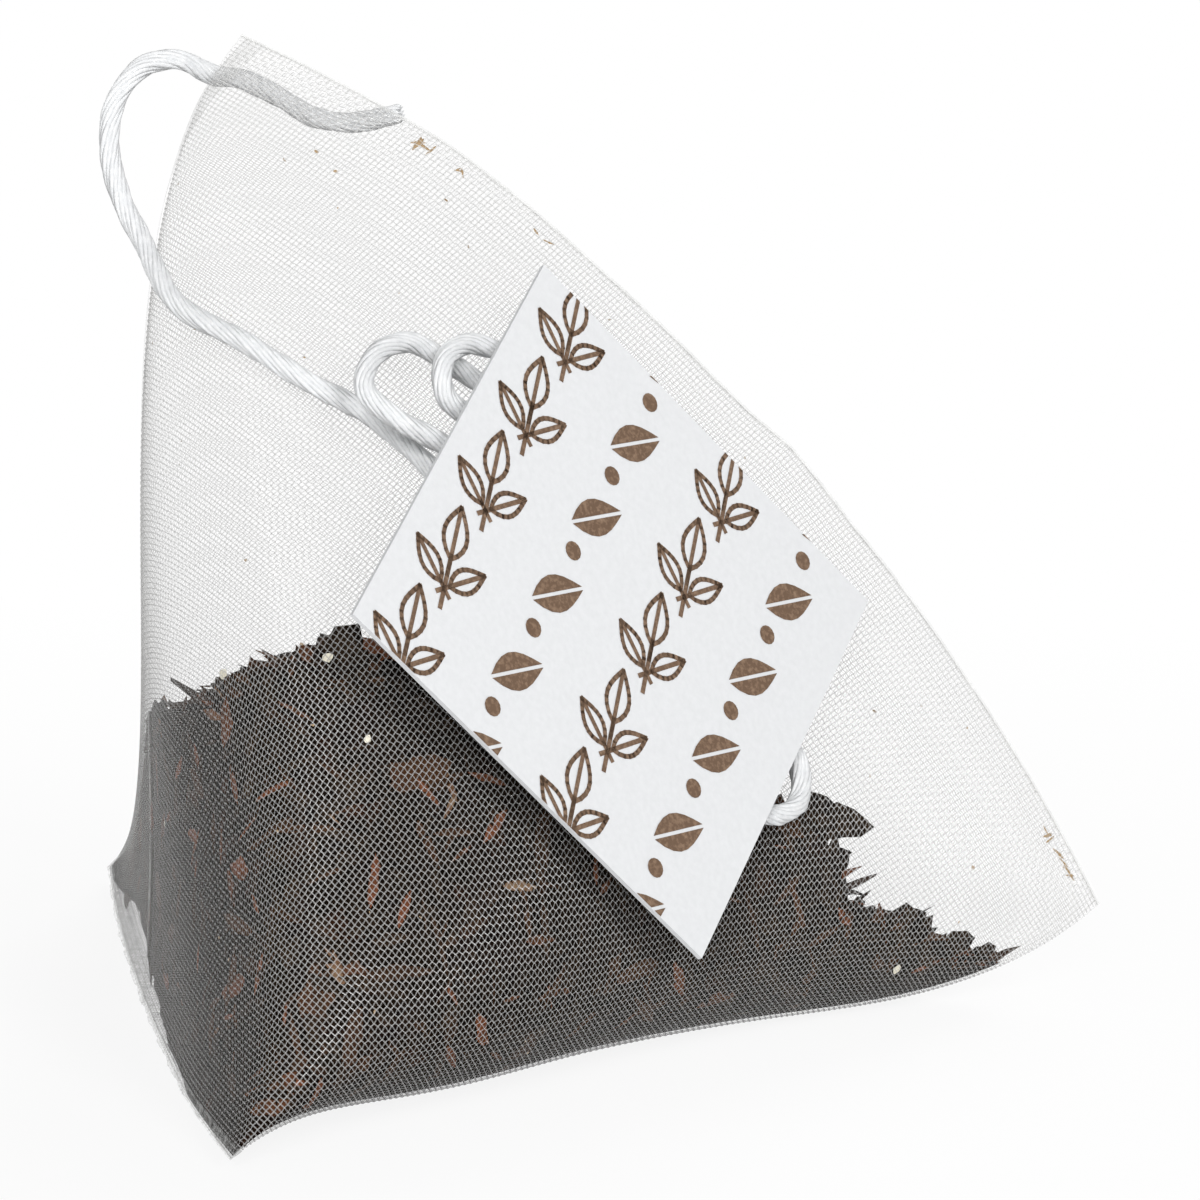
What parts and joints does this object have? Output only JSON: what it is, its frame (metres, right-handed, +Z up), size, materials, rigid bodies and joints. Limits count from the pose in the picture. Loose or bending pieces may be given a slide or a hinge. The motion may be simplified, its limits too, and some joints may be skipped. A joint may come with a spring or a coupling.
{
  "type": "pyramid tea bag",
  "caption": "Pyramid-shaped tea bag of see-through mesh, pressed flat and welded at each end, with loose leaf tea inside, a cotton string and a square paper tag.",
  "frame": {"origin": "on the surface the bag rests on, under the middle of the pouch's box", "axes": "+Z up; +Y along the lower weld, the bag's longest side; +X from the lower weld towards the far corner of the top weld; the tag is on the -Y side"},
  "size_m": [0.0536, 0.064, 0.0505],
  "materials": {
    "mesh_pouch": "fine white see-through plastic mesh",
    "tea_leaves": "dry dark brown tea leaves",
    "string": "matt white twisted cotton",
    "paper_tag": "matt pale grey paper with brown print"
  },
  "bodies": {
    "root": {"mesh_pouch": "mesh_pouch", "tea_leaves": "tea_leaves", "string": "string", "paper_tag": "paper_tag"}
  },
  "joints": []
}
